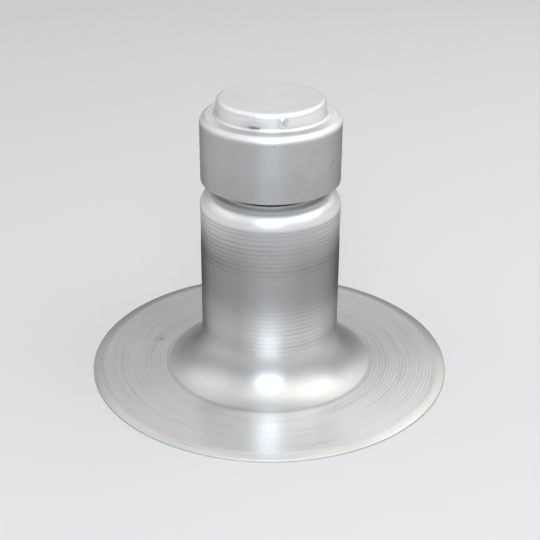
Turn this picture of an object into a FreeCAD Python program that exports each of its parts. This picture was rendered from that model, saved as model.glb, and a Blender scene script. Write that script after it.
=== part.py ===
import FreeCAD, Part
import math
import os
import Sketcher
from types import SimpleNamespace

# Roof vent, in millimetres: a spun sheet flange, collar, stack and neck in one piece, under a spun cap.
# Z is the axis of the vent, and Z = 0 is the lower edge of the flange's rim.

# Driving dimensions
SIZES = {
    # sheet that both spinnings are made from
    "gauge": 1.2,
    # flange: outer radius, and the band along its edge that is turned down
    "flange_radius": 135.0,
    "rim_width": 8.5,
    "rim_drop": 1.2,
    # collar: concave flare from the stack's wall out to its foot on the flange
    "collar_radius": 32.0,
    "collar_reach": 25.8,
    # stack: inside radius, and height of the shoulder's top
    "bore_radius": 50.0,
    "stack_height": 142.8,
    # shoulder: inside radius of its round, flat land, and the fillet at the foot of the neck
    "shoulder_inside": 10.3,
    "shoulder_land": 0.5,
    "neck_fillet": 1.8,
    # lip that turns in at the top of the neck
    "lip_inside": 1.0,
    "lip_width": 3.0,
    # ring of air ports in the neck, and their height above the shoulder
    "port_count": 8,
    "port_radius": 11.0,
    "port_rise": 29.0,
    # cap: gap under the skirt, skirt, inside radius of its upper edge, ledge and the fillet at the button
    "vent_gap": 8.9,
    "skirt_length": 42.5,
    "edge_inside": 3.9,
    "ledge_flat": 4.35,
    "ledge_rise": 0.8,
    "button_fillet": 2.2,
    # clearance between the neck and the button that sits over it
    "neck_clearance": 0.2,
    # blind rivets: shank, head, formed tail, room around them on the button's wall, clearance in their holes
    "rivet_count": 3,
    "rivet_radius": 1.6,
    "head_radius": 3.4,
    "head_height": 1.1,
    "head_rim": 0.35,
    "tail_radius": 2.0,
    "tail_length": 2.4,
    "rivet_margin": 0.25,
    "rivet_clearance": 0.05,
    # mandrel left in each rivet: stem, recess of its broken end, and its own head
    "stem_radius": 0.95,
    "stem_recess": 0.5,
    "stem_head_radius": 1.5,
    "stem_head_length": 1.4,
}
SHEET_NAME = "Sizes"
FULL_TURN = 360
# every piece is drawn with its first rivet along X, then turned so that this rivet faces the front
FRONT_TURN = -90


class Size:
    """A length with its value and the formula on the sheet that gives it."""

    def __init__(self, value, formula):
        self.value = value
        self.formula = formula

    def join(self, other, sign, value):
        return Size(value, "(" + self.formula + " " + sign + " " + other.formula + ")")

    def __add__(self, other):
        return self.join(other, "+", self.value + other.value)

    def __sub__(self, other):
        return self.join(other, "-", self.value - other.value)

    def __mul__(self, other):
        return self.join(other, "*", self.value * other.value)

    def __truediv__(self, other):
        return self.join(other, "/", self.value / other.value)

    def root(self):
        return Size(math.sqrt(self.value), "sqrt(" + self.formula + ")")


ZERO = Size(0.0, "0")
TWO = Size(2.0, "2")


def fill_sheet(doc):
    """Writes the driving dimensions to the sheet and hands them back as sizes."""
    sheet = doc.addObject("Spreadsheet::Sheet", SHEET_NAME)
    for row, (name, value) in enumerate(SIZES.items(), start=1):
        sheet.set("A" + str(row), name)
        sheet.set("B" + str(row), str(value))
        sheet.setAlias("B" + str(row), name)
    doc.recompute()
    return SimpleNamespace(**{name: Size(float(sheet.get(name)), SHEET_NAME + "." + name) for name in SIZES})


def worked_out(dim):
    """Places and radii that follow from the driving dimensions."""
    gauge = dim.gauge
    at = SimpleNamespace()
    at.flange_top = dim.rim_drop + gauge
    at.rim_start = dim.flange_radius - dim.rim_width
    at.stack_radius = dim.bore_radius + gauge
    # the collar's arc touches the stack's wall and ends on the flange
    at.collar_centre = at.stack_radius + dim.collar_radius
    at.collar_foot = at.stack_radius + dim.collar_reach
    across = at.collar_centre - at.collar_foot
    rise = (dim.collar_radius * dim.collar_radius - across * across).root()
    at.collar_top = at.flange_top + rise
    at.collar_under = dim.collar_radius + gauge
    under_rise = rise + gauge
    at.collar_under_foot = at.collar_centre - (at.collar_under * at.collar_under - under_rise * under_rise).root()
    # shoulder, neck and lip
    at.shoulder_round = dim.shoulder_inside + gauge
    at.shoulder_start = dim.stack_height - at.shoulder_round
    at.shoulder_end = at.stack_radius - at.shoulder_round
    at.neck_radius = at.shoulder_end - dim.shoulder_land - dim.neck_fillet
    at.neck_inside = at.neck_radius - gauge
    at.neck_fillet_under = dim.neck_fillet + gauge
    at.neck_start = dim.stack_height + dim.neck_fillet
    at.lip_round = dim.lip_inside + gauge
    # cap
    at.button_radius = at.neck_radius + dim.neck_clearance + gauge
    at.button_inside = at.button_radius - gauge
    at.button_edge_inside = at.lip_round + dim.neck_clearance
    at.button_edge = at.button_edge_inside + gauge
    at.button_fillet_under = dim.button_fillet + gauge
    at.skirt_edge = dim.edge_inside + gauge
    at.ledge_inner = at.button_radius + dim.button_fillet
    at.ledge_outer = at.ledge_inner + dim.ledge_flat
    at.skirt_radius = at.ledge_outer + at.skirt_edge
    at.skirt_inside = at.skirt_radius - gauge
    at.skirt_bottom = dim.stack_height + dim.vent_gap
    at.skirt_top = at.skirt_bottom + dim.skirt_length
    at.ledge_low = at.skirt_top + at.skirt_edge
    at.ledge_high = at.ledge_low + dim.ledge_rise
    at.button_start = at.ledge_high + dim.button_fillet
    # the button's wall is as tall as the rivet's head and tail need
    at.rivet_height = at.button_start + dim.rivet_margin + dim.head_radius
    at.button_end = at.rivet_height + dim.tail_radius + dim.rivet_margin
    at.button_top = at.button_end + at.button_edge
    at.lip_top = at.button_end + at.lip_round
    # air ports
    at.port_height = dim.stack_height + dim.port_rise
    # rivets: the head lies on the button, the tail on the inside of the neck
    at.rivet_hole = dim.rivet_radius + dim.rivet_clearance
    at.head_seat = at.button_radius + dim.rivet_clearance
    at.head_edge = at.head_seat + dim.head_rim
    at.head_top = at.head_seat + dim.head_height
    sagged = at.neck_inside * at.neck_inside - dim.tail_radius * dim.tail_radius
    at.tail_seat = sagged.root() - dim.rivet_clearance
    at.tail_end = at.tail_seat - dim.tail_length
    at.stem_hole = dim.stem_radius + dim.rivet_clearance
    at.stem_end = at.head_top - dim.stem_recess
    at.stem_head_end = at.tail_end - dim.stem_head_length
    # dome of the rivet's head: an arc centred on the rivet's axis
    dome = at.head_top - at.head_edge
    spread = dim.head_radius * dim.head_radius - at.stem_hole * at.stem_hole - dome * dome
    below = spread / (TWO * dome)
    at.dome_radius = (below * below + dim.head_radius * dim.head_radius).root()
    return at


def origin_feature(body, role):
    for feature in body.Origin.OriginFeatures:
        if feature.Role == role:
            return feature
    raise RuntimeError("no " + role + " in " + body.Label)


def new_body(doc, label):
    body = doc.addObject("PartDesign::Body", label)
    body.Label = label
    turn = FreeCAD.Rotation(FreeCAD.Vector(0, 0, 1), FRONT_TURN)
    body.Placement = FreeCAD.Placement(FreeCAD.Vector(), turn)
    return body


def new_sketch(body, name, plane, raised=None):
    """A sketch on one of the body's own planes, moved up the plane where a height is given."""
    sketch = body.newObject("Sketcher::SketchObject", name)
    sketch.AttachmentSupport = (origin_feature(body, plane), [""])
    sketch.MapMode = "FlatFace"
    if raised is not None:
        sketch.AttachmentOffset = FreeCAD.Placement(FreeCAD.Vector(0, raised.value, 0), FreeCAD.Rotation())
        sketch.setExpression("AttachmentOffset.Base.y", raised.formula)
    return sketch


def pin_point(sketch, geometry, end, x, y):
    """Holds one end of a line or arc, or a centre, at its place from the sketch's origin."""
    for kind, axis, size in (("DistanceX", -2, x), ("DistanceY", -1, y)):
        if size is ZERO:
            sketch.addConstraint(Sketcher.Constraint("PointOnObject", geometry, end, axis))
        else:
            index = sketch.addConstraint(Sketcher.Constraint(kind, -1, 1, geometry, end, size.value))
            sketch.setExpression("Constraints[" + str(index) + "]", size.formula)


def pin_radius(sketch, geometry, radius):
    index = sketch.addConstraint(Sketcher.Constraint("Radius", geometry, radius.value))
    sketch.setExpression("Constraints[" + str(index) + "]", radius.formula)


def arc_between(start, end, radius, left):
    """Shorter arc from start to end, turning left or right, as drawn anticlockwise."""
    first, last = (start, end) if left else (end, start)
    chord = last - first
    middle = (first + last) * 0.5
    depth = math.sqrt(max(radius * radius - chord.Length * chord.Length / 4, 0))
    side = FreeCAD.Vector(-chord.y, chord.x, 0).normalize()
    centre = middle + side * depth
    angles = [math.atan2(point.y - centre.y, point.x - centre.x) for point in (first, last)]
    if angles[1] < angles[0]:
        angles[1] += 2 * math.pi
    circle = Part.Circle(centre, FreeCAD.Vector(0, 0, 1), radius)
    return Part.ArcOfCircle(circle, angles[0], angles[1])


def line_to(x, y):
    return SimpleNamespace(x=x, y=y, radius=None, left=True)


def arc_left(x, y, radius):
    return SimpleNamespace(x=x, y=y, radius=radius, left=True)


def arc_right(x, y, radius):
    return SimpleNamespace(x=x, y=y, radius=radius, left=False)


def draw_outline(sketch, steps):
    """Closed outline of lines and arcs. Each step leads from the step before it to its own point."""
    ends = []
    for before, step in zip(steps[-1:] + steps[:-1], steps):
        start = FreeCAD.Vector(before.x.value, before.y.value, 0)
        end = FreeCAD.Vector(step.x.value, step.y.value, 0)
        if step.radius is None:
            edge = Part.LineSegment(start, end)
        else:
            edge = arc_between(start, end, step.radius.value, step.left)
        # a sketch numbers an arc's ends anticlockwise
        index = sketch.addGeometry(edge, False)
        ends.append((index, 1, 2) if step.left else (index, 2, 1))
    for (index, first, last), (following, next_first, next_last) in zip(ends, ends[1:] + ends[:1]):
        sketch.addConstraint(Sketcher.Constraint("Coincident", index, last, following, next_first))
    for (index, first, last), step in zip(ends, steps):
        pin_point(sketch, index, last, step.x, step.y)
        if step.radius is not None:
            pin_radius(sketch, index, step.radius)


def spin(body, name, sketch, axis):
    revolution = body.newObject("PartDesign::Revolution", name)
    revolution.Profile = sketch
    revolution.ReferenceAxis = (sketch, [axis])
    revolution.Angle = FULL_TURN
    body.Document.recompute()
    return revolution


def ring_of(body, name, feature, count):
    """Copies of a feature around the vent's axis."""
    pattern = body.newObject("PartDesign::PolarPattern", name)
    pattern.Originals = [feature]
    pattern.Axis = (origin_feature(body, "Z_Axis"), [""])
    pattern.Angle = FULL_TURN
    pattern.Occurrences = int(count.value)
    pattern.setExpression("Occurrences", count.formula)
    body.Tip = pattern
    body.Document.recompute()
    return pattern


def pierce(body, name, height, radius, reach, count):
    """A ring of round holes through the wall, cut from the axis outwards."""
    before = body.Shape.Volume
    sketch = new_sketch(body, name + "_sketch", "YZ_Plane", height)
    circle = Part.Circle(FreeCAD.Vector(), FreeCAD.Vector(0, 0, 1), radius.value)
    index = sketch.addGeometry(circle, False)
    sketch.addConstraint(Sketcher.Constraint("Coincident", index, 3, -1, 1))
    pin_radius(sketch, index, radius)
    pocket = body.newObject("PartDesign::Pocket", name)
    pocket.Profile = sketch
    pocket.Type = "Length"
    pocket.Length = reach.value
    pocket.setExpression("Length", reach.formula)
    pocket.Reversed = True
    body.Document.recompute()
    if body.Shape.Volume >= before:
        raise RuntimeError(name + " cuts nothing")
    ring_of(body, name + "_ring", pocket, count)


def make_flanged_stack(doc, dim, at):
    body = new_body(doc, "flanged_stack")
    sketch = new_sketch(body, "stack_outline", "XZ_Plane")
    under = dim.rim_drop
    draw_outline(sketch, [
        # upper and outer side, from the rim to the lip
        line_to(dim.flange_radius, dim.gauge),
        line_to(at.rim_start, at.flange_top),
        line_to(at.collar_foot, at.flange_top),
        arc_right(at.stack_radius, at.collar_top, dim.collar_radius),
        line_to(at.stack_radius, at.shoulder_start),
        arc_left(at.shoulder_end, dim.stack_height, at.shoulder_round),
        line_to(at.neck_radius + dim.neck_fillet, dim.stack_height),
        arc_right(at.neck_radius, at.neck_start, dim.neck_fillet),
        line_to(at.neck_radius, at.button_end),
        arc_left(at.neck_radius - at.lip_round, at.lip_top, at.lip_round),
        line_to(at.neck_radius - at.lip_round - dim.lip_width, at.lip_top),
        # under and inner side, back to the rim
        line_to(at.neck_radius - at.lip_round - dim.lip_width, at.lip_top - dim.gauge),
        line_to(at.neck_inside - dim.lip_inside, at.lip_top - dim.gauge),
        arc_right(at.neck_inside, at.button_end, dim.lip_inside),
        line_to(at.neck_inside, at.neck_start),
        arc_left(at.neck_radius + dim.neck_fillet, dim.stack_height - dim.gauge, at.neck_fillet_under),
        line_to(at.shoulder_end, dim.stack_height - dim.gauge),
        arc_right(dim.bore_radius, at.shoulder_start, dim.shoulder_inside),
        line_to(dim.bore_radius, at.collar_top),
        arc_left(at.collar_under_foot, under, at.collar_under),
        line_to(at.rim_start, under),
        line_to(dim.flange_radius, ZERO),
    ])
    spin(body, "stack_spinning", sketch, "V_Axis")
    pierce(body, "air_port", at.port_height, dim.port_radius, at.stack_radius, dim.port_count)
    pierce(body, "neck_rivet_hole", at.rivet_height, at.rivet_hole, at.stack_radius, dim.rivet_count)
    return body


def make_rain_cap(doc, dim, at):
    body = new_body(doc, "rain_cap")
    sketch = new_sketch(body, "cap_outline", "XZ_Plane")
    draw_outline(sketch, [
        # outer side, from the skirt's lower edge to the middle of the button
        line_to(at.skirt_radius, at.skirt_bottom),
        line_to(at.skirt_radius, at.skirt_top),
        arc_left(at.ledge_outer, at.ledge_low, at.skirt_edge),
        line_to(at.ledge_inner, at.ledge_high),
        arc_right(at.button_radius, at.button_start, dim.button_fillet),
        line_to(at.button_radius, at.button_end),
        arc_left(at.button_radius - at.button_edge, at.button_top, at.button_edge),
        line_to(ZERO, at.button_top),
        # inner side, back to the skirt's lower edge
        line_to(ZERO, at.button_top - dim.gauge),
        line_to(at.button_radius - at.button_edge, at.button_top - dim.gauge),
        arc_right(at.button_inside, at.button_end, at.button_edge_inside),
        line_to(at.button_inside, at.button_start),
        arc_left(at.ledge_inner, at.ledge_high - dim.gauge, at.button_fillet_under),
        line_to(at.ledge_outer, at.ledge_low - dim.gauge),
        arc_right(at.skirt_inside, at.skirt_top, dim.edge_inside),
        line_to(at.skirt_inside, at.skirt_bottom),
    ])
    spin(body, "cap_spinning", sketch, "V_Axis")
    pierce(body, "cap_rivet_hole", at.rivet_height, at.rivet_hole, at.skirt_radius, dim.rivet_count)
    return body


def make_cap_rivets(doc, dim, at):
    body = new_body(doc, "cap_rivets")
    sketch = new_sketch(body, "rivet_outline", "XZ_Plane", at.rivet_height)
    draw_outline(sketch, [
        line_to(at.tail_end, at.stem_hole),
        line_to(at.head_top, at.stem_hole),
        arc_left(at.head_edge, dim.head_radius, at.dome_radius),
        line_to(at.head_seat, dim.head_radius),
        line_to(at.head_seat, dim.rivet_radius),
        line_to(at.tail_seat, dim.rivet_radius),
        line_to(at.tail_seat, dim.tail_radius),
        line_to(at.tail_end, dim.tail_radius),
    ])
    rivet = spin(body, "rivet", sketch, "H_Axis")
    ring_of(body, "rivet_ring", rivet, dim.rivet_count)
    return body


def make_rivet_mandrels(doc, dim, at):
    body = new_body(doc, "rivet_mandrels")
    sketch = new_sketch(body, "mandrel_outline", "XZ_Plane", at.rivet_height)
    draw_outline(sketch, [
        line_to(at.stem_head_end, ZERO),
        line_to(at.stem_end, ZERO),
        line_to(at.stem_end, dim.stem_radius),
        line_to(at.tail_end, dim.stem_radius),
        line_to(at.tail_end, dim.stem_head_radius),
        line_to(at.stem_head_end, dim.stem_head_radius),
    ])
    mandrel = spin(body, "mandrel", sketch, "H_Axis")
    ring_of(body, "mandrel_ring", mandrel, dim.rivet_count)
    return body


def check_built(doc, bodies):
    for item in doc.Objects:
        if "Invalid" in item.State or "Error" in item.State:
            raise RuntimeError(item.Label + " failed: " + ", ".join(item.State))
    for body in bodies:
        if body.Shape.isNull() or not body.Shape.isValid() or not body.Shape.Solids:
            raise RuntimeError(body.Label + " has no sound shape")


def main():
    doc = FreeCAD.newDocument("roof_vent")
    dim = fill_sheet(doc)
    at = worked_out(dim)
    makers = (make_flanged_stack, make_rain_cap, make_cap_rivets, make_rivet_mandrels)
    bodies = [make(doc, dim, at) for make in makers]
    doc.recompute()
    check_built(doc, bodies)
    os.makedirs("parts", exist_ok=True)
    for body in bodies:
        body.Shape.exportStep(os.path.join("parts", body.Label + ".step"))
        print(body.Label, len(body.Shape.Solids), "solids", round(body.Shape.Volume, 1), "mm3")


main()
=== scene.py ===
"""Looks of a spun aluminium roof vent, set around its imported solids."""
import math

import bmesh
import bpy
from mathutils import Matrix, Vector


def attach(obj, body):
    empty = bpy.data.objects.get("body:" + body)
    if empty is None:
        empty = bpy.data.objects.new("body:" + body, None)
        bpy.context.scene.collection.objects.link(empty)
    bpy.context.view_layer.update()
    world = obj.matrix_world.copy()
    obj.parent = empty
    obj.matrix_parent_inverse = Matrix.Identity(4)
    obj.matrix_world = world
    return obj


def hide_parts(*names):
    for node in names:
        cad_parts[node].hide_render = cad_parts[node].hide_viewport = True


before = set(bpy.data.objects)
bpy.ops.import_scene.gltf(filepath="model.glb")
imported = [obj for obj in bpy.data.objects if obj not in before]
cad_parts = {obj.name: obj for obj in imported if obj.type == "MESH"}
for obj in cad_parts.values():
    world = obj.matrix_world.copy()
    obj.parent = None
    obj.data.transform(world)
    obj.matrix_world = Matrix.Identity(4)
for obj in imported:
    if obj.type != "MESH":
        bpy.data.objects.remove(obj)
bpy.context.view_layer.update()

MM = 0.001
FULL = 2 * math.pi
# facets round a spun sheet and round a rivet, and the angle from which an edge is sharp
TURNS = 192
RIVET_TURNS = 48
CREASE = math.radians(42)
# rings of faces between a hole and the square of wall around it, how they crowd towards the hole, and half
# the square's width in facets
HOLE_RINGS = 5
HOLE_CROWDING = 1.5
PORT_HALF = 11
RIVET_HALF = 3

# sheet and flange, in millimetres
GAUGE = 1.2
EDGE_ROUND = 0.25
FLANGE_RADIUS = 135.0
RIM_START = 126.5
FLANGE_TOP = 2.4
FLANGE_UNDER = FLANGE_TOP - GAUGE
# collar, stack and shoulder
COLLAR_FOOT = 77.0
COLLAR_ROUND = 32.0
STACK_RADIUS = 51.2
BORE_RADIUS = STACK_RADIUS - GAUGE
COLLAR_RISE = math.sqrt(COLLAR_ROUND ** 2 - (STACK_RADIUS + COLLAR_ROUND - COLLAR_FOOT) ** 2)
COLLAR_TOP = FLANGE_TOP + COLLAR_RISE
COLLAR_UNDER_FOOT = STACK_RADIUS + COLLAR_ROUND - math.sqrt(
    (COLLAR_ROUND + GAUGE) ** 2 - (COLLAR_RISE + GAUGE) ** 2)
SHOULDER_TOP = 142.8
SHOULDER_ROUND = 11.5
SHOULDER_START = SHOULDER_TOP - SHOULDER_ROUND
SHOULDER_END = STACK_RADIUS - SHOULDER_ROUND
# spacing of the spinning tool's rings
FLANGE_PITCH = 2.55
STACK_PITCH = 3.4
# how far the rim bows off a straight cone, the flange off flat, and the stack and the skirt off round
RIM_BOW = 0.2125
FLANGE_LIFT = 0.09
STACK_DRAWN = 0.035
SKIRT_DRAWN = 0.04
# waist under the shoulder
WAIST_DEPTH = 0.3
WAIST_HEIGHT = 114.0
WAIST_SPREAD = 13.0
# neck under the cap, with its ports and its turned-in lip
NECK_RADIUS = 37.4
NECK_INSIDE = NECK_RADIUS - GAUGE
NECK_FILLET = 1.8
LIP_ROUND = 2.2
LIP_WIDTH = 3.0
PORTS = 8
PORT_RADIUS = 11.0
PORT_HEIGHT = 171.8
PORT_BAND = (157.8, 185.8)
# cap
SKIRT_RADIUS = 50.45
SKIRT_INSIDE = SKIRT_RADIUS - GAUGE
SKIRT_BOTTOM = 151.7
SKIRT_TOP = 194.2
SKIRT_EDGE = 5.1
LEDGE_OUTER = SKIRT_RADIUS - SKIRT_EDGE
LEDGE_LOW = SKIRT_TOP + SKIRT_EDGE
LEDGE_INNER = 41.0
LEDGE_HIGH = 200.1
BUTTON_FILLET = 2.2
BUTTON_RADIUS = LEDGE_INNER - BUTTON_FILLET
BUTTON_INSIDE = BUTTON_RADIUS - GAUGE
BUTTON_START = LEDGE_HIGH + BUTTON_FILLET
BUTTON_END = 208.2
BUTTON_EDGE = 3.6
BUTTON_TOP = BUTTON_END + BUTTON_EDGE
LIP_TOP = BUTTON_END + LIP_ROUND
# rivets, whose places along their own axes are distances from the vent's axis
RIVET_HEIGHT = 205.95
RIVET_ANGLES = (-90.0, 30.0, 150.0)
RIVET_HOLE = 1.65
NECK_RIVET_BAND = 203.7
BUTTON_RIVET_BAND = 203.0
SHANK_RADIUS = 1.6
HEAD_RADIUS = 3.4
HEAD_SEAT = 38.85
HEAD_ROUND = 0.1
HEAD_EDGE = 39.2
HEAD_TOP = 39.95
DOME_ROUND = 7.482
DOME_END = HEAD_TOP - 0.02
TAIL_RADIUS = 2.0
TAIL_SEAT = 36.094
TAIL_END = 33.694
TAIL_ROUND = 0.5
STEM_HOLE = 1.0
STEM_HOLE_ROUND = 0.14
STEM_RADIUS = 0.95
STEM_END = 39.45
STEM_HEAD_RADIUS = 1.5
STEM_HEAD_ROUND = 0.3
STEM_HEAD_END = 32.294


class Outline:
    """Half outline of a spun sheet, drawn anticlockwise, as radius and height in millimetres."""

    def __init__(self, radius, height):
        self.points = [(radius, height)]
        self.bands = []

    def line(self, radius, height, steps=1, hold=0.0, marks=None):
        """Straight run. hold keeps one row close to each end, and marks sinks its rows into the sheet."""
        r0, z0 = self.points[-1]
        run = math.hypot(radius - r0, height - z0)
        along = ((radius - r0) / run, (height - z0) / run)
        places = [run * step / steps for step in range(1, steps + 1)]
        if hold:
            places = sorted(set(places) | {hold, run - hold})
        for place in places:
            sunk = marks(place) if marks and place < run else 0.0
            out = r0 + along[0] * place - along[1] * sunk
            up = z0 + along[1] * place + along[0] * sunk
            self.points.append((out, up))

    def arc(self, radius, height, bend, steps, left=True):
        """Shorter arc to a point, turning left or right."""
        r0, z0 = self.points[-1]
        chord = math.hypot(radius - r0, height - z0)
        depth = math.sqrt(max(bend * bend - chord * chord / 4, 0.0))
        side = 1 if left else -1
        centre_r = (r0 + radius) / 2 - side * depth * (height - z0) / chord
        centre_z = (z0 + height) / 2 + side * depth * (radius - r0) / chord
        start = math.atan2(z0 - centre_z, r0 - centre_r)
        end = math.atan2(height - centre_z, radius - centre_r)
        turn = (end - start) % FULL if left else -((start - end) % FULL)
        for step in range(1, steps):
            angle = start + turn * step / steps
            self.points.append((centre_r + bend * math.cos(angle), centre_z + bend * math.sin(angle)))
        self.points.append((radius, height))

    def band(self, height, steps, holes):
        """Straight wall with round holes, each an angle, height, radius and half its square in facets."""
        first = len(self.points) - 1
        self.line(self.points[-1][0], height, steps)
        self.bands.append((first, first + steps, holes))


def on_wall(radius, angle, height):
    return (radius * math.cos(angle) * MM, radius * math.sin(angle) * MM, height * MM)


def bridge(bm, outer, inner):
    """Ring of faces between two loops of points."""
    for k in range(len(outer)):
        following = (k + 1) % len(outer)
        bm.faces.new((outer[k], outer[following], inner[following], inner[k]))


def cut_hole(bm, outline, rows, band, hole, rims):
    """Fills the square left in a wall with rings of faces round a hole, and joins the two walls' rims."""
    first, last, _ = band
    turn, height, radius, half = hole
    middle = round(math.radians(turn) / FULL * TURNS)
    wall = outline.points[first][0]
    square = [(first, column) for column in range(-half, half)]
    square += [(row, half) for row in range(first, last)]
    square += [(last, column) for column in range(half, -half, -1)]
    square += [(row, -half) for row in range(last, first, -1)]
    loops = [[rows[row][(middle + column) % TURNS] for row, column in square]]
    corners = []
    for row, column in square:
        side = math.sin(column * FULL / TURNS)
        # both walls take their angles from the same radius, so that their rims match
        corners.append((side * wall, outline.points[row][1] - height, side * BUTTON_RADIUS))
    for ring in range(1, HOLE_RINGS + 1):
        share = 1 - (1 - ring / HOLE_RINGS) ** HOLE_CROWDING
        loop = []
        for across, up, across_both in corners:
            around = math.atan2(up, across_both)
            x = across * (1 - share) + radius * math.cos(around) * share
            z = up * (1 - share) + radius * math.sin(around) * share
            angle = math.radians(turn) + math.asin(x / wall)
            loop.append(bm.verts.new(on_wall(wall, angle, height + z)))
        loops.append(loop)
    for outer, inner in zip(loops, loops[1:]):
        bridge(bm, outer, inner)
    rim = {}
    for (row, column), vert in zip(square, loops[-1]):
        rim[(column, round(outline.points[row][1], 4))] = vert
    if hole in rims:
        bridge(bm, list(rims[hole].values()), [rim[key] for key in rims[hole]])
    else:
        rims[hole] = rim


def spin(name, outline, turns=TURNS, closed_on_axis=False):
    """Mesh of an outline spun round Z."""
    bm = bmesh.new()
    angles = [FULL * step / turns for step in range(turns)]
    rows = []
    for radius, height in outline.points:
        if radius < 1e-6:
            rows.append([bm.verts.new((0.0, 0.0, height * MM))] * turns)
        else:
            rows.append([bm.verts.new(on_wall(radius, angle, height)) for angle in angles])
    open_cells = set()
    for first, last, holes in outline.bands:
        for turn, _, _, half in holes:
            middle = round(math.radians(turn) / FULL * turns)
            for column in range(middle - half, middle + half):
                open_cells.update((row, column % turns) for row in range(first, last))
    for row in range(len(rows) - (1 if closed_on_axis else 0)):
        here = rows[row]
        following = rows[(row + 1) % len(rows)]
        for column in range(turns):
            if (row, column) in open_cells:
                continue
            beside = (column + 1) % turns
            corners = (here[column], here[beside], following[beside], following[column])
            bm.faces.new(tuple(dict.fromkeys(corners)))
    rims = {}
    for band in outline.bands:
        for hole in band[2]:
            cut_hole(bm, outline, rows, band, hole, rims)
    bmesh.ops.recalc_face_normals(bm, faces=bm.faces)
    for face in bm.faces:
        face.smooth = True
    for edge in bm.edges:
        edge.smooth = len(edge.link_faces) == 2 and edge.calc_face_angle() < CREASE
    mesh = bpy.data.meshes.new(name)
    bm.to_mesh(mesh)
    bm.free()
    return mesh


def tool_rings(place, pitch, sine):
    """Rings that the spinning tool leaves, from 0 to 1, at a place along a run.

    They wander a little and differ in strength. They serve the mesh and the finish alike, each with its own
    sine.
    """
    turn = FULL / pitch
    wander = 0.5 * sine(place * (turn / 7.3)) + 0.25 * sine(place * (turn / 3.1) + 1.0)
    uneven = 0.78 + 0.22 * sine(place * (turn / 4.7) + 0.6)
    return (0.5 - 0.5 * sine(place * turn + wander + math.pi / 2)) * uneven


def bell(value, middle, spread):
    return math.exp(-((value - middle) / spread) ** 2)


def ramp(value, low, high):
    return min(1.0, max(0.0, (value - low) / (high - low)))


def fade_ends(place, run, length):
    return max(0.0, min(1.0, place / length, (run - place) / length))


def flange_marks(place):
    """Rings on the flange, from the rim inwards, deeper close to it and near the collar."""
    deep = 0.046 + 0.03 * bell(place, 38.0, 9.0) + 0.04 * bell(place, 7.0, 2.0)
    rings = tool_rings(place, FLANGE_PITCH, math.sin)
    return deep * rings * fade_ends(place, RIM_START - COLLAR_FOOT, 2.0)


def rim_bend(place):
    """Turns the rim down in a slight curve, steepest at the edge."""
    share = place / (FLANGE_RADIUS - RIM_START)
    return -4 * RIM_BOW * share * max(0.0, 1 - share)


def stack_marks(place):
    """Rings on the stack, from the collar upwards, and a slight waist under the shoulder."""
    deep = 0.045 + 0.015 * min(1.0, place / 60.0)
    rings = tool_rings(place, STACK_PITCH, math.sin)
    waist = WAIST_DEPTH * bell(place + COLLAR_TOP, WAIST_HEIGHT, WAIST_SPREAD)
    return deep * rings * fade_ends(place, SHOULDER_START - COLLAR_TOP, 5.0) + waist


def port_holes():
    return tuple((360.0 / PORTS * k - 90.0, PORT_HEIGHT, PORT_RADIUS, PORT_HALF) for k in range(PORTS))


def rivet_holes():
    return tuple((turn, RIVET_HEIGHT, RIVET_HOLE, RIVET_HALF) for turn in RIVET_ANGLES)


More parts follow.
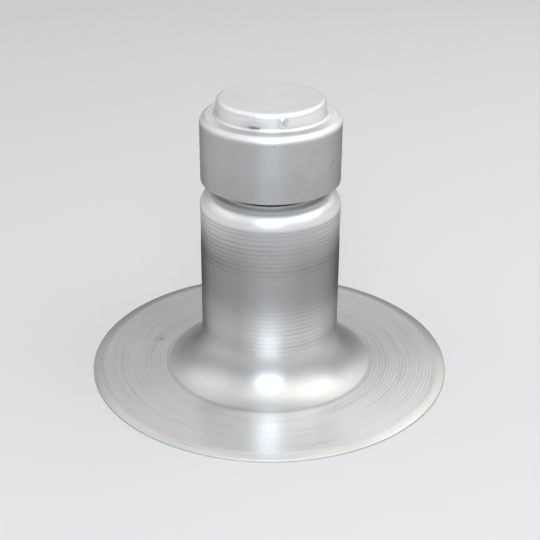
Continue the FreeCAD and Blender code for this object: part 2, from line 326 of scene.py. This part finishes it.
def stack_outline():
    lip_end = NECK_RADIUS - LIP_ROUND - LIP_WIDTH
    tilt = FLANGE_UNDER / (FLANGE_RADIUS - RIM_START)
    edge = FLANGE_RADIUS - EDGE_ROUND
    out = Outline(edge, tilt * EDGE_ROUND)
    # edge of the rim, then the upper and outer side up to the lip
    out.arc(FLANGE_RADIUS, EDGE_ROUND, EDGE_ROUND, 3)
    out.line(FLANGE_RADIUS, GAUGE - EDGE_ROUND)
    out.arc(edge, GAUGE + tilt * EDGE_ROUND, EDGE_ROUND, 3)
    out.line(RIM_START, FLANGE_TOP, 10, marks=rim_bend)
    out.line(COLLAR_FOOT, FLANGE_TOP, 114, hold=0.3, marks=flange_marks)
    out.arc(STACK_RADIUS, COLLAR_TOP, COLLAR_ROUND, 36, left=False)
    out.line(STACK_RADIUS, SHOULDER_START, 168, marks=stack_marks)
    out.arc(SHOULDER_END, SHOULDER_TOP, SHOULDER_ROUND, 20)
    out.line(NECK_RADIUS + NECK_FILLET, SHOULDER_TOP)
    out.arc(NECK_RADIUS, SHOULDER_TOP + NECK_FILLET, NECK_FILLET, 6, left=False)
    out.line(NECK_RADIUS, PORT_BAND[0], 2)
    out.band(PORT_BAND[1], 12, port_holes())
    out.line(NECK_RADIUS, NECK_RIVET_BAND, 2)
    out.band(BUTTON_END, 5, rivet_holes())
    out.arc(NECK_RADIUS - LIP_ROUND, LIP_TOP, LIP_ROUND, 6)
    out.line(lip_end + EDGE_ROUND, LIP_TOP)
    out.arc(lip_end, LIP_TOP - EDGE_ROUND, EDGE_ROUND, 2)
    out.line(lip_end, LIP_TOP - GAUGE + EDGE_ROUND)
    out.arc(lip_end + EDGE_ROUND, LIP_TOP - GAUGE, EDGE_ROUND, 2)
    # inner and under side, back to the rim
    out.line(NECK_RADIUS - LIP_ROUND, LIP_TOP - GAUGE)
    out.arc(NECK_INSIDE, BUTTON_END, LIP_ROUND - GAUGE, 5, left=False)
    out.band(NECK_RIVET_BAND, 5, rivet_holes())
    out.line(NECK_INSIDE, PORT_BAND[1], 2)
    out.band(PORT_BAND[0], 12, port_holes())
    out.line(NECK_INSIDE, SHOULDER_TOP + NECK_FILLET, 2)
    out.arc(NECK_RADIUS + NECK_FILLET, SHOULDER_TOP - GAUGE, NECK_FILLET + GAUGE, 7)
    out.line(SHOULDER_END, SHOULDER_TOP - GAUGE)
    out.arc(BORE_RADIUS, SHOULDER_START, SHOULDER_ROUND - GAUGE, 16, left=False)
    out.line(BORE_RADIUS, COLLAR_TOP, 12)
    out.arc(COLLAR_UNDER_FOOT, FLANGE_UNDER, COLLAR_ROUND + GAUGE, 26)
    out.line(RIM_START, FLANGE_UNDER, 6, hold=0.35)
    out.line(edge, tilt * EDGE_ROUND, 4)
    out.points.pop()
    return out


def cap_outline():
    out = Outline(0.0, BUTTON_TOP - GAUGE)
    # inner side, from the middle of the button to the skirt's lower edge
    out.line(BUTTON_RADIUS - BUTTON_EDGE, BUTTON_TOP - GAUGE, 6, hold=0.3)
    out.arc(BUTTON_INSIDE, BUTTON_END, BUTTON_EDGE - GAUGE, 8, left=False)
    out.band(BUTTON_RIVET_BAND, 5, rivet_holes())
    out.line(BUTTON_INSIDE, BUTTON_START)
    out.arc(LEDGE_INNER, LEDGE_HIGH - GAUGE, BUTTON_FILLET + GAUGE, 8)
    out.line(LEDGE_OUTER, LEDGE_LOW - GAUGE, 3)
    out.arc(SKIRT_INSIDE, SKIRT_TOP, SKIRT_EDGE - GAUGE, 10, left=False)
    out.line(SKIRT_INSIDE, SKIRT_BOTTOM + EDGE_ROUND, 10)
    out.arc(SKIRT_INSIDE + EDGE_ROUND, SKIRT_BOTTOM, EDGE_ROUND, 3)
    out.line(SKIRT_RADIUS - EDGE_ROUND, SKIRT_BOTTOM)
    out.arc(SKIRT_RADIUS, SKIRT_BOTTOM + EDGE_ROUND, EDGE_ROUND, 3)
    # outer side, back to the middle
    out.line(SKIRT_RADIUS, SKIRT_TOP, 26, hold=0.3)
    out.arc(LEDGE_OUTER, LEDGE_LOW, SKIRT_EDGE, 20)
    out.line(LEDGE_INNER, LEDGE_HIGH, 8, hold=0.2)
    out.arc(BUTTON_RADIUS, BUTTON_START, BUTTON_FILLET, 14, left=False)
    out.line(BUTTON_RADIUS, BUTTON_RIVET_BAND)
    out.band(BUTTON_END, 5, rivet_holes())
    out.arc(BUTTON_RADIUS - BUTTON_EDGE, BUTTON_TOP, BUTTON_EDGE, 16)
    out.line(0.0, BUTTON_TOP, 16, hold=0.4)
    return out


def rivet_outline():
    """Blind rivet: formed tail, shank, and a domed head with a hole down the middle."""
    out = Outline(STEM_HOLE, TAIL_END)
    out.line(TAIL_RADIUS - TAIL_ROUND, TAIL_END)
    out.arc(TAIL_RADIUS, TAIL_END + TAIL_ROUND, TAIL_ROUND, 4)
    out.line(TAIL_RADIUS, TAIL_SEAT, 2)
    out.line(SHANK_RADIUS, TAIL_SEAT)
    out.line(SHANK_RADIUS, HEAD_SEAT, 3)
    out.line(HEAD_RADIUS - HEAD_ROUND, HEAD_SEAT)
    out.arc(HEAD_RADIUS, HEAD_SEAT + HEAD_ROUND, HEAD_ROUND, 2)
    out.line(HEAD_RADIUS, HEAD_EDGE)
    out.arc(STEM_HOLE + STEM_HOLE_ROUND, DOME_END, DOME_ROUND, 12)
    out.arc(STEM_HOLE, DOME_END - STEM_HOLE_ROUND, STEM_HOLE_ROUND, 3)
    out.line(STEM_HOLE, TAIL_END + 0.4, 4)
    return out


def mandrel_outline():
    """Mandrel left in a rivet: its own head inside, a stem, and the torn end where it snapped."""
    out = Outline(0.0, STEM_HEAD_END)
    out.line(STEM_HEAD_RADIUS - STEM_HEAD_ROUND, STEM_HEAD_END, 2)
    out.arc(STEM_HEAD_RADIUS, STEM_HEAD_END + STEM_HEAD_ROUND, STEM_HEAD_ROUND, 4)
    out.line(STEM_HEAD_RADIUS, TAIL_END)
    out.line(STEM_RADIUS, TAIL_END)
    out.line(STEM_RADIUS, STEM_END - 0.5, 3)
    # torn end
    out.line(0.66, STEM_END - 0.16, 2)
    out.line(0.5, STEM_END)
    out.line(0.3, STEM_END - 0.12)
    out.line(0.0, STEM_END - 0.2)
    return out


def unroundness(mesh, move):
    """Moves each point of a sheet a little, as hand spinning leaves it."""
    for vert in mesh.vertices:
        x, y, z = (value / MM for value in vert.co)
        vert.co = Vector(move(math.hypot(x, y), math.atan2(y, x), z)) * MM


def stack_as_spun(radius, angle, height):
    """Flange a little off flat, stack a little off round, neck left true."""
    outward = ramp(radius, 80.0, 130.0)
    waves = 1 + 0.6 * math.sin(3 * angle + 0.7) + 0.4 * math.sin(5 * angle + 2.0)
    lift = FLANGE_LIFT * outward * outward * waves
    on_stack = ramp(height, 12.0, 42.0) * (1 - ramp(height, 125.0, 140.0))
    waves = 1 + 0.6 * math.sin(4 * angle + height / 17.0) + 0.4 * math.sin(7 * angle - height / 11.0)
    radius -= STACK_DRAWN * on_stack * waves
    return radius * math.cos(angle), radius * math.sin(angle), height + lift


def cap_as_spun(radius, angle, height):
    """Skirt a little off round, button left true."""
    on_skirt = ramp(radius, 44.0, 49.0)
    waves = 1 + 0.6 * math.sin(3 * angle + height / 13.0 + 1.2) + 0.4 * math.sin(8 * angle - height / 9.0)
    radius -= SKIRT_DRAWN * on_skirt * waves
    return radius * math.cos(angle), radius * math.sin(angle), height


def ring_of_rivets(name, outline):
    """One mesh with a copy of a small turned piece at each rivet's place."""
    whole = bmesh.new()
    for turn in RIVET_ANGLES:
        mesh = spin(name, outline, RIVET_TURNS, closed_on_axis=outline.points[0][0] < 1e-6)
        outward = Matrix.Rotation(math.radians(turn), 4, "Z") @ Matrix.Rotation(math.radians(90), 4, "Y")
        mesh.transform(Matrix.Translation((0, 0, RIVET_HEIGHT * MM)) @ outward)
        whole.from_mesh(mesh)
        bpy.data.meshes.remove(mesh)
    mesh = bpy.data.meshes.new(name)
    whole.to_mesh(mesh)
    whole.free()
    return mesh


class Socket:
    """A value, colour or vector in a finish. Arithmetic on values adds the nodes that work it out."""

    def __init__(self, nodes, socket):
        self.nodes = nodes
        self.socket = socket

    def math(self, operation, *others):
        inputs = dict(enumerate((self,) + others))
        return self.nodes.add("ShaderNodeMath", {"operation": operation}, inputs)

    def __add__(self, other):
        return self.math("ADD", other)

    def __radd__(self, other):
        return self.math("ADD", other)

    def __sub__(self, other):
        return self.math("SUBTRACT", other)

    def __rsub__(self, other):
        return self.nodes.add("ShaderNodeMath", {"operation": "SUBTRACT"}, {0: other, 1: self})

    def __mul__(self, other):
        return self.math("MULTIPLY", other)

    def __rmul__(self, other):
        return self.math("MULTIPLY", other)

    def __truediv__(self, other):
        return self.math("DIVIDE", other)

    def above(self, low, high):
        """Smooth step from 0 at low to 1 at high."""
        settings = {"interpolation_type": "SMOOTHSTEP"}
        inputs = {"Value": self, "From Min": low, "From Max": high}
        return self.nodes.add("ShaderNodeMapRange", settings, inputs)

    def below(self, low, high):
        """Smooth step from 1 at low to 0 at high."""
        return 1 - self.above(low, high)


class Nodes:
    """The nodes of one finish, or of the light around the object."""

    def __init__(self, owner):
        owner.use_nodes = True
        self.tree = owner.node_tree
        self.tree.nodes.clear()

    def add(self, kind, settings=None, inputs=None, output=0):
        """Adds a node with its settings and then its inputs, which are values or links."""
        node = self.tree.nodes.new(kind)
        for name, value in (settings or {}).items():
            setattr(node, name, value)
        for name, value in (inputs or {}).items():
            if isinstance(value, Socket):
                self.tree.links.new(value.socket, node.inputs[name])
            else:
                node.inputs[name].default_value = value
        return Socket(self, node.outputs[output]) if node.outputs else None

    def split(self, vector):
        node = self.add("ShaderNodeSeparateXYZ", inputs={0: vector}).socket.node
        return tuple(Socket(self, output) for output in node.outputs)

    def join(self, x, y, z):
        return self.add("ShaderNodeCombineXYZ", inputs={0: x, 1: y, 2: z})

    def noise(self, vector, scale, detail=2.0, roughness=0.5):
        inputs = {"Vector": vector, "Scale": scale, "Detail": detail, "Roughness": roughness}
        return self.add("ShaderNodeTexNoise", inputs=inputs)

    def mix(self, share, first, second):
        return self.add("ShaderNodeMix", {"data_type": "RGBA"}, {0: share, 6: first, 7: second}, output=2)


def grey(value, warm=0.0):
    """A grey colour, tinted warm or, below nought, cool."""
    return (value * (1 + warm), value, value * (1 - warm), 1.0)


# colour of bare aluminium at full tone, and the dulling of worked metal that is seen at a low angle
ALUMINIUM = (1.0, 0.996, 0.986, 1.0)
EDGE_TINT = grey(0.16)
# quarter turn, which lays the brushing along the rings
ALONG_RINGS = 0.25


class SpunSheet:
    """Finish of a spun sheet: places on it in millimetres, and the patterns that both sheets share."""

    def __init__(self, name):
        self.material = bpy.data.materials.new(name)
        n = self.nodes = Nodes(self.material)
        self.place = n.add("ShaderNodeTexCoord", output=3)
        x, y, z = n.split(self.place)
        self.radius = (x * x + y * y).math("SQRT") / MM
        self.height = z / MM
        off_axis = self.radius.math("MAXIMUM", 1.0)
        self.round_x = x / MM / off_axis
        self.round_y = y / MM / off_axis
        along = self.radius + self.height
        self.lines = n.noise(n.join(self.round_x * 1.6, self.round_y * 1.6, along * 0.9), 1.0, 3.0, 0.6)
        self.passes = n.noise(n.join(self.round_x * 0.8, self.round_y * 0.8, along * 0.16), 1.0)
        self.clouds = n.noise(self.place, 16.0, 3.0)
        self.smears = n.noise(self.place, 48.0, 4.0, 0.65).above(0.56, 0.8)
        self.ragged = n.noise(self.place, 700.0, 3.0, 0.6)

    def towards(self, turn):
        """1 on the side that faces a direction, -1 on the far side."""
        angle = math.radians(turn)
        return self.round_x * math.cos(angle) + self.round_y * math.sin(angle)

    def mark(self, turn, radius, height, size, lean, twist):
        """1 at a small mark and 0 away from it."""
        angle = math.radians(turn)
        local = self.nodes.add("ShaderNodeMapping", {"vector_type": "TEXTURE"}, {
            "Vector": self.place,
            "Location": on_wall(radius, angle, height),
            "Rotation": (math.radians(lean), 0.0, angle + math.radians(twist)),
            "Scale": [value * MM for value in size]})
        away = self.nodes.add("ShaderNodeVectorMath", {"operation": "LENGTH"}, {0: local}, output="Value")
        return (away + 0.9 * self.ragged).below(0.75, 1.5)

    def marked(self, tone, marks):
        """Darkens the tone at each mark."""
        for turn, radius, height, size, lean, twist, dark in marks.values():
            tone = tone * (1 - dark * self.mark(turn, radius, height, size, lean, twist))
        return tone

    def shell(self, tone, roughness, metallic, lines_deep, brushing, brushed=None):
        """Joins the finish up.

        brushing is how strongly the sheet is brushed. Where it gives two amounts, the second holds where
        brushed is 1.
        """
        n = self.nodes
        colour = n.mix(tone, grey(0.0), ALUMINIUM)
        bump = n.add("ShaderNodeBump", inputs={
            "Strength": 0.4, "Distance": lines_deep * MM, "Height": self.lines})
        coats = []
        for amount in brushing:
            coats.append(n.add("ShaderNodeBsdfPrincipled", inputs={
                "Base Color": colour, "Metallic": metallic, "Roughness": roughness, "Normal": bump,
                "Anisotropic": amount, "Anisotropic Rotation": ALONG_RINGS, "Specular Tint": EDGE_TINT}))
        surface = coats[0]
        if brushed:
            surface = n.add("ShaderNodeMixShader", inputs={0: brushed, 1: coats[0], 2: coats[1]})
        n.add("ShaderNodeOutputMaterial", inputs={"Surface": surface})
        return self.material


# directions round the vent's axis, in degrees, towards which a finish is given painted light or painted
# shade
FRONT = -102.5
RIGHT = -12.5
LEFT = 167.5
FAR_LEFT = 108.0
PALER_FLANGE_SIDE = -92.0
# radii and heights between which the finish of the stack sheet changes
FLANGE_FROM = (COLLAR_FOOT + 1.0, COLLAR_FOOT + 4.0)
RINGS_FADE = (RIM_START + 1.0, RIM_START + 6.0)
RIM_FROM = (RIM_START - 0.6, RIM_START + 1.4)
NEAR_COLLAR = (88.0, 104.0)
COLLAR_WITHIN = (COLLAR_FOOT, COLLAR_FOOT + 6.0)
COLLAR_TO = (COLLAR_TOP - 6.0, COLLAR_TOP + 6.0)
STACK_FROM = (COLLAR_TOP - 2.0, COLLAR_TOP + 4.0)
STACK_TO = (SHOULDER_START - 2.0, SHOULDER_START + 2.0)
SHOULDER_FROM = (SHOULDER_START - 2.0, SHOULDER_START + 4.0)
LOW_WALL_TO = (52.0, 84.0)
WORKED_AND_SHADE_FROM = (46.0, 80.0)
WORKED_AND_SHADE_TO = (98.0, 134.0)
FEW_RINGS_FROM = (62.0, 80.0)
FEW_RINGS_TO = (92.0, 104.0)
FAINT_RINGS_TO = (66.0, 88.0)
UPPER_FROM = (82.0, 106.0)
TOP_BAND_FROM = (98.0, 128.0)
SHELTER_FROM = (140.6, 141.4)
SHELTER_WITHIN = (43.7, 44.5)
NECK_FROM = (144.2, 145.0)
NECK_WITHIN = (37.8, 38.8)
# and the finish of the cap
CAP_INSIDE_WITHIN = (SKIRT_INSIDE + 0.3, SKIRT_INSIDE + 0.7)
CAP_INSIDE_TO = (197.6, 198.2)
SKIRT_TO = (SKIRT_TOP - 0.5, SKIRT_TOP + 3.0)
SKIRT_LOW_TO = (156.0, 178.0)
WALL_FROM = (BUTTON_RADIUS - 1.5, BUTTON_RADIUS - 0.4)
WALL_TO = (LEDGE_INNER, LEDGE_INNER + 0.6)
LEDGE_FROM = (40.4, 41.4)
LEDGE_TO = (45.4, 47.4)
LEDGE_ABOVE = (198.8, 199.1)
CREASE_SHADE_FROM = (42.6, 43.1)
CREASE_SHADE_TO = (43.3, 43.9)
ROUND_FROM = (45.0, 46.5)
ROUND_ABOVE = (194.0, 196.5)

# marks of handling, and painted shade over the smudge and round the rivet: direction, radius, height, half
# of depth, width and height, lean, twist and darkness
STACK_MARKS = {
    "rubbed patch": (151.5, 89.7, FLANGE_TOP, (6.0, 9.0, 4.0), 0.0, 0.0, 0.1),
    "scuff": (151.5, 89.7, FLANGE_TOP, (0.6, 3.2, 2.0), 0.0, 35.0, 0.65),
    "scratch": (166.5, 66.6, 6.4, (0.6, 2.6, 1.6), 0.0, -20.0, 0.6),
    "nick": (-102.8, STACK_RADIUS, 112.0, (1.0, 0.9, 0.45), 0.0, 0.0, 0.35),
}
CAP_MARKS = {
    "smudge at the button's root": (-119.5, 39.2, 202.1, (3.0, 6.4, 1.4), 0.0, 0.0, 0.6),
    # painted shade on the button's wall over the smudge
    "painted shade over the smudge": (-119.5, 39.0, 203.6, (4.0, 13.0, 5.0), 0.0, 0.0, 0.16),
    # painted shadow round the rivet's head
    "painted shadow round the rivet's head": (-90.0, BUTTON_RADIUS, RIVET_HEIGHT, (4.0, 7.0, 7.0), 0.0, 0.0, 0.12),
    "rub": (-45.5, SKIRT_RADIUS, 174.0, (2.0, 4.6, 1.4), 45.0, 0.0, 0.3),
    "tick": (-100.2, SKIRT_RADIUS, 194.0, (1.0, 0.6, 0.9), 0.0, 0.0, 0.3),
}


def sine_of(value):
    return value.math("SINE")


def stack_finish():
    """Flange and stack: ringed where the tool pressed, rougher on the worked wall and under the cap, with
    painted shade darkening the wall and painted light and shade that differ from side to side.
    """
    sheet = SpunSheet("stack aluminium")
    radius, height = sheet.radius, sheet.height
    # parts of the sheet
    outer = radius.above(*FLANGE_FROM)
    on_flange = outer * radius.below(*RINGS_FADE)
    on_rim = radius.above(*RIM_FROM)
    near_collar = radius.below(*NEAR_COLLAR)
    on_collar = radius.below(*COLLAR_WITHIN) * height.below(*COLLAR_TO)
    on_stack = height.above(*STACK_FROM) * height.below(*STACK_TO)
    on_shoulder = height.above(*SHOULDER_FROM)
    low_wall = height.below(*LOW_WALL_TO) * (1 - outer)
    worked_and_painted_shade = height.above(*WORKED_AND_SHADE_FROM) * height.below(*WORKED_AND_SHADE_TO)
    upper = height.above(*UPPER_FROM)
    top_band = height.above(*TOP_BAND_FROM) * (1 - on_shoulder)
    sheltered = height.above(*SHELTER_FROM) * radius.below(*SHELTER_WITHIN)
    neck = height.above(*NECK_FROM) * radius.below(*NECK_WITHIN)
    # sides of it
    to_front = sheet.towards(FRONT)
    front_half = to_front.above(-0.1, 0.5)
    facing = to_front.above(0.4, 0.95)
    painted_streak_line = to_front.above(0.88, 1.0)
    to_right = sheet.towards(RIGHT)
    right = to_right.above(0.2, 0.9)
    left = sheet.towards(LEFT).above(0.2, 0.9)
    low_left = height.below(*FAINT_RINGS_TO) * to_right.below(-0.5, -0.15)
    painted_shade_far_left = sheet.towards(FAR_LEFT).above(0.55, 0.95)
    painted_paler_flange = on_flange * sheet.towards(PALER_FLANGE_SIDE).above(0.7, 1.0)
    # rings and fine lines
    patchy = 0.45 + 0.55 * sheet.clouds.above(0.38, 0.62)
    few_rings = height.above(*FEW_RINGS_FROM) * height.below(*FEW_RINGS_TO)
    flange_rings = on_flange * patchy * tool_rings(RIM_START - radius, FLANGE_PITCH, sine_of)
    stack_rings = on_stack * patchy * (1 - 0.6 * few_rings) * (1 - 0.85 * low_left)
    stack_rings = stack_rings * tool_rings(height - COLLAR_TOP, STACK_PITCH, sine_of)
    thin_lines = sheet.lines.above(0.52, 0.66)
    shade = sheet.clouds * 0.4 + sheet.passes * 0.35 + sheet.lines * 0.25
    # tone, then the rest of the finish; the collar and wall are given a darker tone than the flange and
    # shoulder, as painted shade
    tone = 0.7 + 0.26 * outer + 0.02 * on_collar + 0.28 * on_shoulder + 0.2 * (shade - 0.5)
    # painted shade darkens the middle of the wall, and a painted highlight runs down its front line
    tone = tone * (1 - 0.46 * worked_and_painted_shade + 0.08 * worked_and_painted_shade * painted_streak_line)
    # painted light on the left of the top band, and painted shade where it faces the front
    tone = tone * (1 + top_band * (0.14 * left - 0.2 * facing))
    # painted highlight down the front line of the low wall, painted shade on the rest of it, more on its
    # low left
    tone = tone * (1 + low_wall * (1 - on_collar) * (0.18 * painted_streak_line - 0.1 - 0.07 * low_left))
    # painted shade on the far left of the flange
    tone = tone * (1 - 0.16 * outer * painted_shade_far_left)
    tone = tone * (1 - 0.05 * sheet.smears) * (1 - 0.2 * outer * patchy * thin_lines)
    # the rim is a little darker all round, with painted shade towards the front beside the front line and
    # towards the right
    tone = tone * (1 - (0.03 + 0.12 * front_half * (1 - painted_streak_line) + 0.05 * right) * on_rim)
    tone = tone * (1 - 0.24 * stack_rings) * (1 - (0.11 + 0.08 * near_collar) * flange_rings)
    # handling marks, then painted shade on the top of the neck under the cap
    tone = sheet.marked(tone, STACK_MARKS) * (1 - 0.9 * neck)
    roughness = 0.3 + 0.03 * worked_and_painted_shade + 0.02 * upper + 0.05 * on_collar
    roughness = roughness + 0.03 * stack_rings + 0.03 * flange_rings
    roughness = roughness + 0.04 * sheet.clouds + 0.05 * sheet.smears + 0.2 * sheltered
    metallic = 1 - 0.45 * on_shoulder - 0.25 * sheltered - 0.1 * low_wall - 0.42 * top_band
    # painted light: the flange towards one front side and the rim on the front line are made partly
    # diffuse, so that they read paler
    metallic = metallic - 0.26 * painted_paler_flange - 0.26 * on_rim * painted_streak_line
    return sheet.shell(tone, roughness, metallic, 0.04, (0.62,))


def cap_finish():
    """Cap: evenly satin, duller inside, with painted shade on the skirt and the ledge, painted light on the
    button's wall, and scores across the button's top.
    """
    sheet = SpunSheet("cap aluminium")
    n, radius, height = sheet.nodes, sheet.radius, sheet.height
    # parts of the sheet
    inside = radius.below(*CAP_INSIDE_WITHIN) * height.below(*CAP_INSIDE_TO)
    on_skirt = height.below(*SKIRT_TO) * (1 - inside)
    skirt_low = height.below(*SKIRT_LOW_TO)
    on_wall_of_button = radius.above(*WALL_FROM) * radius.below(*WALL_TO)
    on_ledge = radius.above(*LEDGE_FROM) * radius.below(*LEDGE_TO) * height.above(*LEDGE_ABOVE)
    painted_crease_shade = radius.above(*CREASE_SHADE_FROM) * radius.below(*CREASE_SHADE_TO) * on_ledge
    # sides of it
    front = sheet.towards(FRONT).above(0.2, 0.9)
    to_right = sheet.towards(RIGHT)
    to_left = sheet.towards(LEFT)
    skirt_left = to_left.above(0.5, 1.0)
    painted_shade_left_round = to_left.above(0.1, 0.8) * radius.above(*ROUND_FROM) * height.above(*ROUND_ABOVE)
    # fine scores and clouds
    x, y, _ = n.split(sheet.place)
    across = n.join(x * 22.0, y * 420.0 + 3.0 * sheet.clouds, height * 0.05)
    scores = n.noise(across, 1.0).above(0.56, 0.72)
    shade = sheet.clouds * 0.6 + sheet.passes * 0.2 + sheet.lines * 0.2
    # tone, then the rest of the finish
    # painted light makes the button's wall paler, most towards the right
    tone = 0.92 + (0.06 + 0.08 * to_right) * on_wall_of_button + 0.18 * (shade - 0.5)
    # painted shade on the ledge, most at the front, on a crease line across it, and on the left of the
    # skirt's upper round
    tone = tone * (1 - (0.1 + 0.36 * front) * on_ledge) * (1 - 0.1 * painted_crease_shade) * (1 - 0.14 * painted_shade_left_round)
    # painted shade darkens the skirt, less on its left, which is painted light, and the skirt is darker
    # towards the bottom
    tone = tone * (1 - (0.41 - 0.06 * skirt_left + 0.05 * skirt_low) * on_skirt)
    tone = tone * (1 - 0.12 * sheet.smears) * (1 - 0.05 * scores)
    tone = sheet.marked(tone, CAP_MARKS)
    roughness = 0.36 + 0.06 * sheet.clouds + 0.05 * sheet.smears + 0.15 * inside
    metallic = 0.5 + 0.2 * on_skirt + 0.1 * on_wall_of_button - 0.3 * on_ledge - 0.2 * inside
    return sheet.shell(tone, roughness, metallic, 0.012, (0.15, 0.85), on_skirt)


def turned_metal(name, tone, roughness):
    """Small fastener metal with a fine mottle."""
    material = bpy.data.materials.new(name)
    n = Nodes(material)
    place = n.add("ShaderNodeTexCoord", output=3)
    mottle = n.noise(place, 900.0, 3.0)
    colour = n.mix(mottle, grey(tone * 0.9), grey(tone * 1.08))
    bump = n.add("ShaderNodeBump", inputs={"Strength": 0.3, "Distance": 0.03 * MM, "Height": mottle})
    surface = n.add("ShaderNodeBsdfPrincipled", inputs={
        "Base Color": colour, "Metallic": 1.0, "Roughness": roughness + 0.1 * mottle, "Normal": bump})
    n.add("ShaderNodeOutputMaterial", inputs={"Surface": surface})
    return material


def place_piece(name, mesh, material, node):
    piece = bpy.data.objects.new(name, mesh)
    bpy.context.scene.collection.objects.link(piece)
    mesh.materials.append(material)
    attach(piece, "root")
    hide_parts(node)


def build_vent():
    stack = spin("spun_stack", stack_outline())
    unroundness(stack, stack_as_spun)
    place_piece("spun_stack", stack, stack_finish(), "flanged_stack")
    cap = spin("spun_cap", cap_outline(), closed_on_axis=True)
    unroundness(cap, cap_as_spun)
    place_piece("spun_cap", cap, cap_finish(), "rain_cap")
    rivets = ring_of_rivets("blind_rivets", rivet_outline())
    metal = turned_metal("rivet aluminium", 0.92, 0.36)
    place_piece("blind_rivets", rivets, metal, "cap_rivets")
    mandrels = ring_of_rivets("snapped_mandrels", mandrel_outline())
    metal = turned_metal("mandrel steel", 0.88, 0.45)
    place_piece("snapped_mandrels", mandrels, metal, "rivet_mandrels")


# camera, which looks from a little to the left of the front rivet
CAMERA_TURN = -12.5
CAMERA_AWAY = 0.7708
CAMERA_HEIGHT = 0.4685
CAMERA_PITCH = 26.941
CAMERA_ROLL = 0.382
CAMERA_LENS = 77.183
CAMERA_SENSOR = 36.0


def turned_about(degrees, axis):
    return Matrix.Rotation(math.radians(degrees), 3, axis)


def set_camera():
    camera = bpy.data.cameras.new("camera")
    camera.lens = CAMERA_LENS
    camera.sensor_width = CAMERA_SENSOR
    holder = bpy.data.objects.new("camera", camera)
    turn = math.radians(CAMERA_TURN)
    holder.location = (CAMERA_AWAY * math.sin(turn), -CAMERA_AWAY * math.cos(turn), CAMERA_HEIGHT)
    tilt = turned_about(90 - CAMERA_PITCH, "X") @ turned_about(CAMERA_ROLL, "Z")
    holder.rotation_euler = (turned_about(CAMERA_TURN, "Z") @ tilt).to_euler()
    bpy.context.scene.collection.objects.link(holder)
    bpy.context.scene.camera = holder


# lamps: degrees to the right of the camera, degrees up, width, height, glow and colour
WARM = (1.0, 0.97, 0.93)
LAMPS = {
    "key": (71.0, 49.0, 1.4, 1.0, 0.87, WARM),
    "top": (12.0, 76.0, 1.0, 0.8, 0.45, WARM),
    "front": (0.0, 51.0, 0.85, 0.56, 1.0, (0.76, 0.89, 1.0)),
    "front_strip": (0.0, 35.0, 0.8, 0.36, 6.5, (0.7, 0.85, 1.0)),
    "right": (98.0, 50.0, 1.0, 0.9, 0.55, WARM),
    "back_right": (140.0, 34.0, 1.0, 0.9, 0.6, WARM),
    "left": (-98.0, 34.0, 1.8, 0.9, 0.33, (1.0, 0.98, 0.94)),
}
LAMP_AIM = Vector((0.0, 0.0, 0.1))
LAMP_AWAY = 1.35


def set_lamps():
    for name, (aside, up, width, tall, glow, colour) in LAMPS.items():
        lamp = bpy.data.lights.new(name, "AREA")
        lamp.shape = "ELLIPSE"
        lamp.size = width
        lamp.size_y = tall
        area = math.pi * width * tall / 4
        lamp.energy = glow * math.pi * area
        lamp.color = colour
        holder = bpy.data.objects.new(name, lamp)
        turn = math.radians(aside + CAMERA_TURN)
        rise = math.radians(up)
        level = math.cos(rise)
        towards = Vector((math.sin(turn) * level, -math.cos(turn) * level, math.sin(rise)))
        holder.location = LAMP_AIM + towards * LAMP_AWAY
        holder.rotation_euler = towards.to_track_quat("Z", "Y").to_euler()
        holder.visible_camera = False
        bpy.context.scene.collection.objects.link(holder)


# light of the room, the rise over which it changes, and the floor, which reaches past every view
HORIZON = grey(0.33)
OVERHEAD = grey(0.85, 0.01)
SKY_RISE = (0.43, 0.68)
FLOOR_COLOUR = grey(0.72)
FLOOR_REACH = 40.0


def set_room():
    """Soft light all round, brighter overhead than at the horizon, and a pale floor."""
    world = bpy.data.worlds.new("room")
    bpy.context.scene.world = world
    n = Nodes(world)
    _, _, up = n.split(n.add("ShaderNodeTexCoord", output=0))
    glow = n.mix(up.above(*SKY_RISE), HORIZON, OVERHEAD)
    background = n.add("ShaderNodeBackground", inputs={"Color": glow, "Strength": 1.0})
    n.add("ShaderNodeOutputWorld", inputs={"Surface": background})
    mesh = bpy.data.meshes.new("floor")
    signs = ((-1, -1), (1, -1), (1, 1), (-1, 1))
    mesh.from_pydata([(x * FLOOR_REACH, y * FLOOR_REACH, 0) for x, y in signs], [], [(0, 1, 2, 3)])
    floor = bpy.data.objects.new("floor", mesh)
    bpy.context.scene.collection.objects.link(floor)
    material = bpy.data.materials.new("pale floor")
    n = Nodes(material)
    surface = n.add("ShaderNodeBsdfPrincipled", inputs={"Base Color": FLOOR_COLOUR, "Roughness": 0.9})
    n.add("ShaderNodeOutputMaterial", inputs={"Surface": surface})
    mesh.materials.append(material)


build_vent()
set_camera()
set_lamps()
set_room()
bpy.context.scene.view_settings.view_transform = "Standard"
